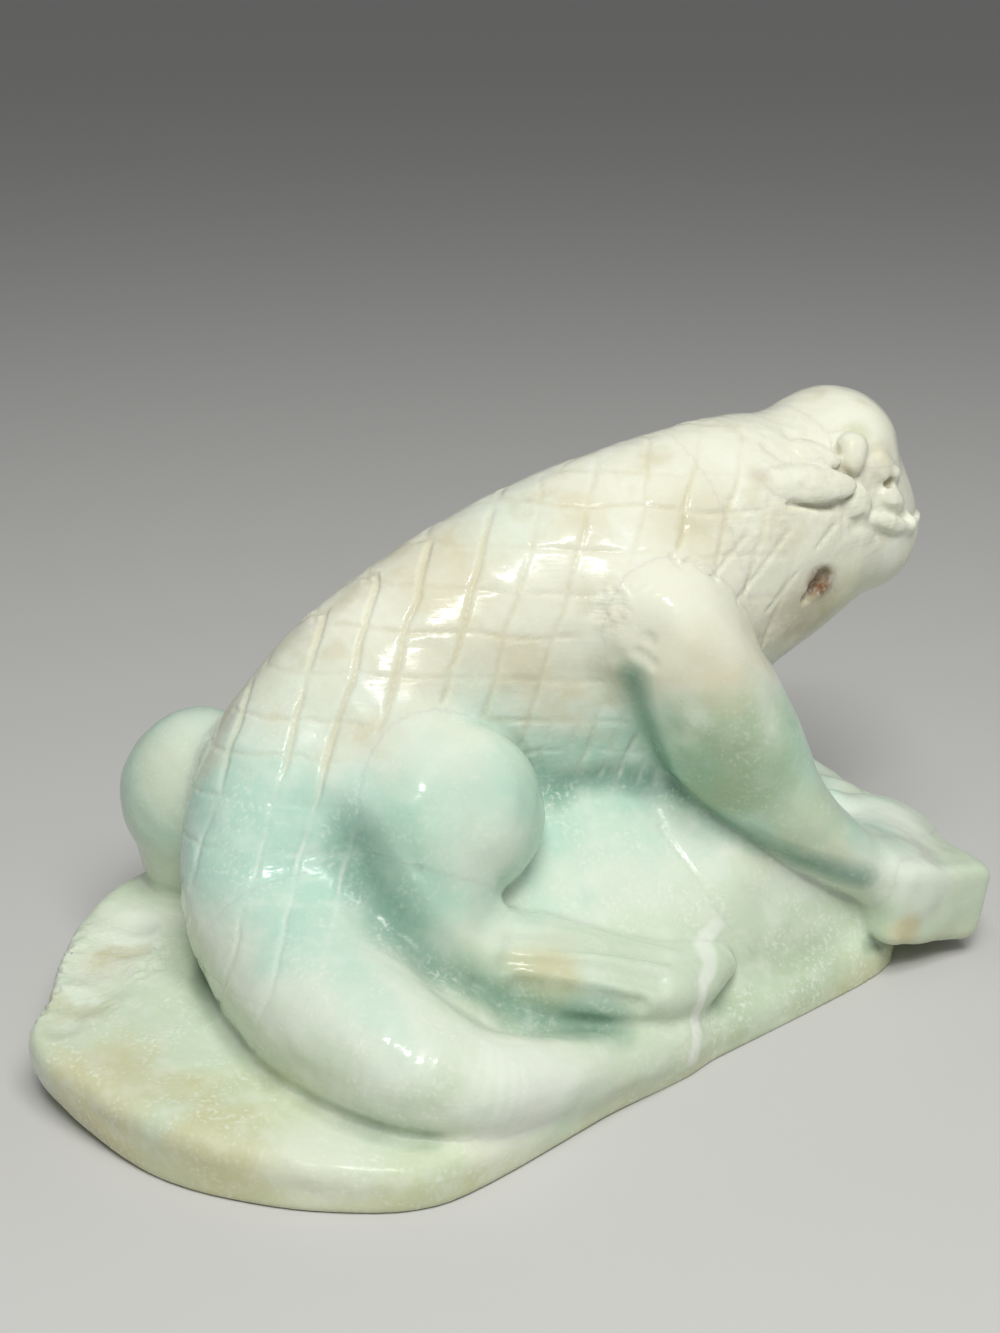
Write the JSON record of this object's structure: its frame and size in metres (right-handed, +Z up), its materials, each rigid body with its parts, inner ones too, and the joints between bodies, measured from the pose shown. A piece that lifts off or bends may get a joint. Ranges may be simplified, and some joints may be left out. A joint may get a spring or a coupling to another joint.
{
  "type": "carved stone figurine",
  "caption": "Carved banded green and cream stone lizard crouching on its rock, tail curled round its hind foot, with a flat underside to stand on a shelf or desk.",
  "frame": {"origin": "on the rock's flat underside, near the middle of its outline", "axes": "+X the way the lizard looks, -Y its right side, +Z up"},
  "size_m": [0.1111, 0.0661, 0.0646],
  "materials": {
    "body_stone": "tumble-polished, scratched scale cuts",
    "limb_stone": "polished",
    "rock_stone": "rubbed, with raw chipped skin at the rim"
  },
  "bodies": {
    "root": {"torso": "body_stone", "tail": "body_stone", "head": "body_stone", "brow_crest": "body_stone", "right_eye": "body_stone", "left_eye": "body_stone", "right_cheek_ridge": "body_stone", "left_cheek_ridge": "body_stone", "right_thigh": "limb_stone", "left_thigh": "limb_stone", "right_hind_foot": "limb_stone", "left_hind_foot": "limb_stone", "right_foreleg": "limb_stone", "left_foreleg": "limb_stone", "right_forefoot": "limb_stone", "left_forefoot": "limb_stone", "rock_base": "rock_stone"}
  },
  "joints": []
}
